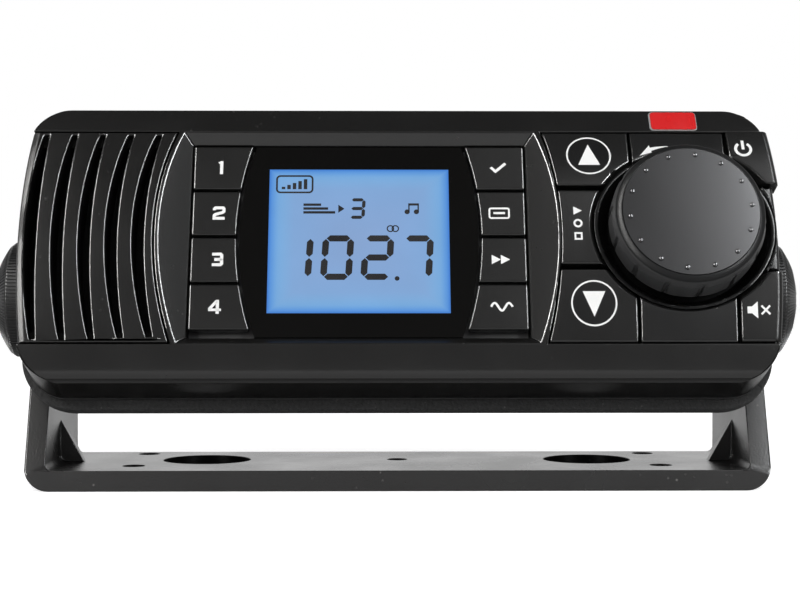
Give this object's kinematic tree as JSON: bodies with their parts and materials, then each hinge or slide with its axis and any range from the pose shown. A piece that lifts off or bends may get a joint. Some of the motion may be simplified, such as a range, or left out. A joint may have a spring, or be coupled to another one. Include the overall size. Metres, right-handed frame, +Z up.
{
  "type": "marine stereo on gimbal bracket",
  "caption": "Black marine radio head with a louvred grille, lit display between key columns and a large volume knob, tilting on a U-shaped gimbal bracket with clamp knobs.",
  "frame": {"origin": "middle of the bracket's foot, on the mounting surface", "axes": "+Z up, +X to the right as the user faces the radio, -Y towards the user"},
  "size_m": [0.196, 0.0737, 0.0876],
  "materials": {
    "satin_plastic": "satin, faintly grained",
    "gloss_black": "polished",
    "soft_grip": "matte",
    "knob_cap": "fine satin",
    "bracket": "matte, grained",
    "foam": "matte",
    "cloth": "woven",
    "circuit_board": "solder mask",
    "part_black": "moulded",
    "light_guide": "clear acrylic",
    "display": "backlit liquid crystal",
    "plated_steel": "zinc plated",
    "sink": "black anodised",
    "brass": "turned",
    "cone_paper": "pressed",
    "key_plastic": "satin"
  },
  "bodies": {
    "bracket": {"gimbal_bracket": "bracket"},
    "head": {"front_fascia": "satin_plastic", "louvre_grille": "satin_plastic", "grille_cloth": "cloth", "speaker_basket": "plated_steel", "speaker_cone": "cone_paper", "speaker_magnet": "plated_steel", "control_panel": "satin_plastic", "knob_well_ring": "gloss_black", "display_window": "gloss_black", "display_frame": "part_black", "lcd_panel": "display", "lcd_backlight": "light_guide", "control_board": "circuit_board", "key_switches": "part_black", "encoder_body": "plated_steel", "encoder_nut": "plated_steel", "sealing_gasket": "foam", "rear_housing": "satin_plastic", "flange_screws": "plated_steel", "heat_sink": "sink", "heat_sink_screws": "plated_steel", "main_board": "circuit_board", "amplifier_chip": "part_black", "antenna_socket": "plated_steel", "cable_grommet": "foam", "pivot_inserts": "brass", "friction_washers": "foam"},
    "volume_knob": {"knob_cap": "knob_cap", "knob_grip": "soft_grip", "encoder_shaft": "plated_steel"},
    "key_preset_1": {"key_preset_1": "key_plastic"},
    "key_preset_2": {"key_preset_2": "key_plastic"},
    "key_preset_3": {"key_preset_3": "key_plastic"},
    "key_preset_4": {"key_preset_4": "key_plastic"},
    "key_select": {"key_select": "key_plastic"},
    "key_display": {"key_display": "key_plastic"},
    "key_scan": {"key_scan": "key_plastic"},
    "key_band": {"key_band": "key_plastic"},
    "key_up": {"key_up": "key_plastic"},
    "key_source": {"key_source": "key_plastic"},
    "key_down": {"key_down": "key_plastic"},
    "key_power": {"key_power": "key_plastic"},
    "key_mute": {"key_mute": "key_plastic"},
    "left_washer": {"left_clamp_washer": "plated_steel"},
    "left_clamp": {"left_clamp_knob": "part_black", "left_clamp_stud": "plated_steel"},
    "right_washer": {"right_clamp_washer": "plated_steel"},
    "right_clamp": {"right_clamp_knob": "part_black", "right_clamp_stud": "plated_steel"}
  },
  "joints": [
    {"name": "head_tilt", "type": "hinge", "parent": "bracket", "child": "head", "pos_m": [0, 0.0082, 0.0435], "axis": [-1, 0, 0], "range_deg": [-6, 60]},
    {"name": "volume_turn", "type": "hinge", "parent": "head", "child": "volume_knob", "pos_m": [0.0638, -0.03074, 0.06034], "axis": [0, -0.9304, 0.3665], "continuous": true},
    {"name": "key_preset_1_press", "type": "slide", "parent": "head", "child": "key_preset_1", "axis": [0, 0.9304, -0.3665], "range_m": [0, 0.001], "stiffness_N_per_m": 400},
    {"name": "key_preset_2_press", "type": "slide", "parent": "head", "child": "key_preset_2", "axis": [0, 0.9304, -0.3665], "range_m": [0, 0.001], "stiffness_N_per_m": 400},
    {"name": "key_preset_3_press", "type": "slide", "parent": "head", "child": "key_preset_3", "axis": [0, 0.9304, -0.3665], "range_m": [0, 0.001], "stiffness_N_per_m": 400},
    {"name": "key_preset_4_press", "type": "slide", "parent": "head", "child": "key_preset_4", "axis": [0, 0.9304, -0.3665], "range_m": [0, 0.001], "stiffness_N_per_m": 400},
    {"name": "key_select_press", "type": "slide", "parent": "head", "child": "key_select", "axis": [0, 0.9304, -0.3665], "range_m": [0, 0.001], "stiffness_N_per_m": 400},
    {"name": "key_display_press", "type": "slide", "parent": "head", "child": "key_display", "axis": [0, 0.9304, -0.3665], "range_m": [0, 0.001], "stiffness_N_per_m": 400},
    {"name": "key_scan_press", "type": "slide", "parent": "head", "child": "key_scan", "axis": [0, 0.9304, -0.3665], "range_m": [0, 0.001], "stiffness_N_per_m": 400},
    {"name": "key_band_press", "type": "slide", "parent": "head", "child": "key_band", "axis": [0, 0.9304, -0.3665], "range_m": [0, 0.001], "stiffness_N_per_m": 400},
    {"name": "key_up_press", "type": "slide", "parent": "head", "child": "key_up", "axis": [0, 0.9304, -0.3665], "range_m": [0, 0.001], "stiffness_N_per_m": 400},
    {"name": "key_source_press", "type": "slide", "parent": "head", "child": "key_source", "axis": [0, 0.9304, -0.3665], "range_m": [0, 0.001], "stiffness_N_per_m": 400},
    {"name": "key_down_press", "type": "slide", "parent": "head", "child": "key_down", "axis": [0, 0.9304, -0.3665], "range_m": [0, 0.001], "stiffness_N_per_m": 400},
    {"name": "key_power_press", "type": "slide", "parent": "head", "child": "key_power", "axis": [0, 0.9304, -0.3665], "range_m": [0, 0.001], "stiffness_N_per_m": 400},
    {"name": "key_mute_press", "type": "slide", "parent": "head", "child": "key_mute", "axis": [0, 0.9304, -0.3665], "range_m": [0, 0.001], "stiffness_N_per_m": 400},
    {"name": "left_clamp_travel", "type": "slide", "parent": "head", "child": "left_washer", "axis": [-1, 0, 0], "range_m": [0, 0.002]},
    {"name": "left_clamp_turn", "type": "hinge", "parent": "left_washer", "child": "left_clamp", "pos_m": [-0.09, 0.0082, 0.0435], "axis": [-1, 0, 0], "range_deg": [0, 720]},
    {"name": "right_clamp_travel", "type": "slide", "parent": "head", "child": "right_washer", "axis": [1, 0, 0], "range_m": [0, 0.002]},
    {"name": "right_clamp_turn", "type": "hinge", "parent": "right_washer", "child": "right_clamp", "pos_m": [0.09, 0.0082, 0.0435], "axis": [1, 0, 0], "range_deg": [0, 720]}
  ],
  "couplings": [
    {"joint": "left_clamp_turn", "follows": "left_clamp_travel", "rad_per_m": 6283.2},
    {"joint": "right_clamp_turn", "follows": "right_clamp_travel", "rad_per_m": 6283.2}
  ]
}
